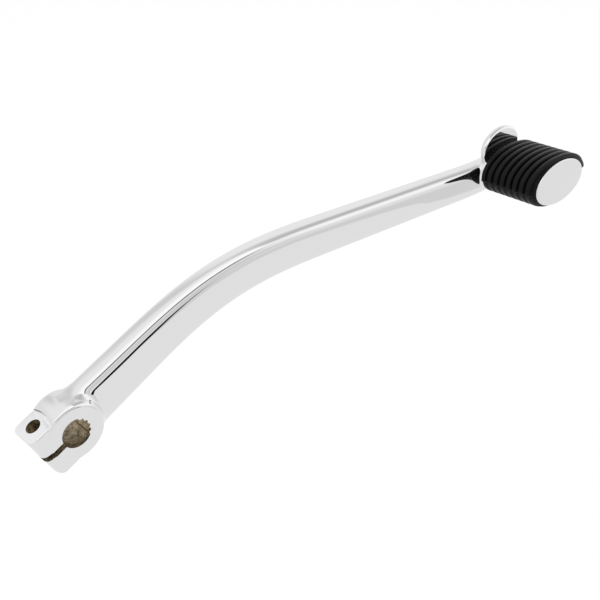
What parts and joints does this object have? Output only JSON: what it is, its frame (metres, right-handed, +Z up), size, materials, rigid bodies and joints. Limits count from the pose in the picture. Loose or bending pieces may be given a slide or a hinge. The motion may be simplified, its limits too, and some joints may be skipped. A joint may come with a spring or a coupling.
{
  "type": "kick start lever",
  "caption": "Chromed forged kick start lever with a split serrated clamp, a curved arm and an oval foot pedal in a ribbed rubber sleeve.",
  "frame": {"origin": "on the kick shaft's axis, at the clamp's face that goes against the engine", "axes": "+Y along the kick shaft towards the engine, +X along the lever towards the pedal, +Z up with the pedal's tread level"},
  "size_m": [0.3663, 0.0915, 0.1264],
  "materials": {
    "chromed_steel": "bright mirror chrome on the forging; the bore, the saw cut and the bolt hole are left in raw brown steel",
    "black_rubber": "moulded black rubber, satin, with ribs round the sleeve"
  },
  "bodies": {
    "root": {"lever": "chromed_steel", "pedal_rubber": "black_rubber"}
  },
  "joints": []
}
